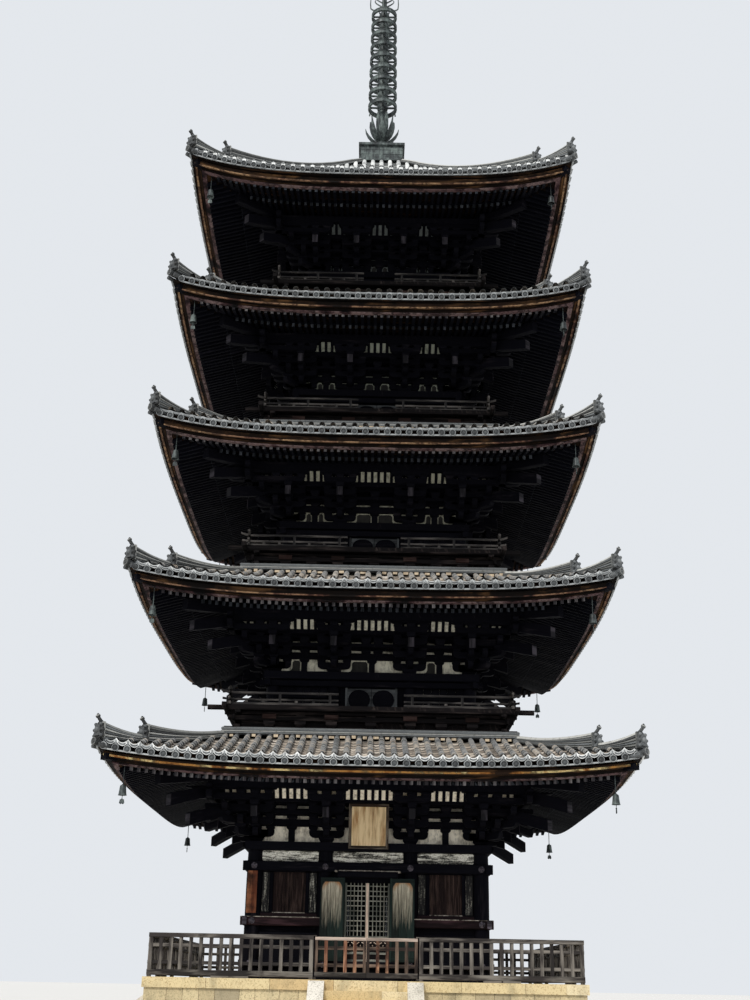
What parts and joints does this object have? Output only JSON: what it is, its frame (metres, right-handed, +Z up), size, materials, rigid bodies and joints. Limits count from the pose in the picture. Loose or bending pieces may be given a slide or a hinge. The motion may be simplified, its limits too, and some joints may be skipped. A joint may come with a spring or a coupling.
{
  "type": "five-storey wooden pagoda",
  "caption": "Five-storey timber pagoda with tiled roofs, balconies and a ringed bronze finial, on a stone podium with steps, a picket fence and a hinged gate and front doors.",
  "frame": {"origin": "on the ground under the centre of the podium, in line with the finial", "axes": "+Z up, the front with its gate and open doors faces -Y, +X to the right seen from the front"},
  "size_m": [13.86, 13.86, 37.6],
  "materials": {
    "podium_stone": "dressed warm granite, weathered",
    "fence_timber": "bare grey weathered timber",
    "gate_timber": "newer red-brown stained timber",
    "dark_timber": "old timber, nearly black",
    "plank_wall": "old dark red-brown planks",
    "lattice_timber": "pale weathered timber",
    "door_planks": "green-grey weathered planks",
    "roof_tile": "silver-grey smoked clay tiles",
    "plaster": "white lime plaster, stained",
    "old_bronze": "dull verdigris bronze"
  },
  "bodies": {
    "pagoda": {"podium": "podium_stone", "stair_front": "podium_stone", "stair_right": "podium_stone", "stair_back": "podium_stone", "stair_left": "podium_stone", "fence_front_left": "fence_timber", "fence_front_right": "fence_timber", "fence_right": "fence_timber", "fence_back": "fence_timber", "fence_left": "fence_timber", "storey_1_frame": "dark_timber", "storey_1_floor": "dark_timber", "central_pillar": "dark_timber", "wall_front_a": "plank_wall", "wall_front_b": "plank_wall", "wall_right_a": "plank_wall", "wall_right_b": "plank_wall", "wall_back_a": "plank_wall", "wall_back_b": "plank_wall", "wall_left_a": "plank_wall", "wall_left_b": "plank_wall", "lattice_door": "lattice_timber", "name_plaque": "lattice_timber", "door_right": "door_planks", "door_back": "door_planks", "door_left": "door_planks", "eaves_1": "dark_timber", "eaves_2": "dark_timber", "eaves_3": "dark_timber", "eaves_4": "dark_timber", "eaves_5": "dark_timber", "storey_2_walls": "dark_timber", "storey_3_walls": "dark_timber", "storey_4_walls": "dark_timber", "storey_5_walls": "dark_timber", "balcony_2": "dark_timber", "balcony_3": "dark_timber", "balcony_4": "dark_timber", "balcony_5": "dark_timber", "roof_1": "roof_tile", "roof_2": "roof_tile", "roof_3": "roof_tile", "roof_4": "roof_tile", "roof_5": "roof_tile", "dew_basin": "old_bronze", "bowl_and_lotus": "old_bronze", "nine_rings": "old_bronze", "water_flame": "old_bronze", "jewels": "old_bronze"},
    "door_leaf_left": {"door_leaf_left": "door_planks"},
    "door_leaf_right": {"door_leaf_right": "door_planks"},
    "gate_leaf_left": {"gate_leaf_left": "gate_timber"},
    "gate_leaf_right": {"gate_leaf_right": "gate_timber"}
  },
  "joints": [
    {"name": "door_left_hinge", "type": "hinge", "parent": "pagoda", "child": "door_leaf_left", "pos_m": [-0.613, -3.3, 2.895], "axis": [0, 0, 1], "range_deg": [0, 180]},
    {"name": "door_right_hinge", "type": "hinge", "parent": "pagoda", "child": "door_leaf_right", "pos_m": [0.613, -3.3, 2.895], "axis": [0, 0, -1], "range_deg": [0, 180]},
    {"name": "gate_left_hinge", "type": "hinge", "parent": "pagoda", "child": "gate_leaf_left", "pos_m": [-1.225, -5.195, 1.935], "axis": [0, 0, 1], "range_deg": [0, 90]},
    {"name": "gate_right_hinge", "type": "hinge", "parent": "pagoda", "child": "gate_leaf_right", "pos_m": [1.225, -5.195, 1.935], "axis": [0, 0, -1], "range_deg": [0, 90]}
  ]
}
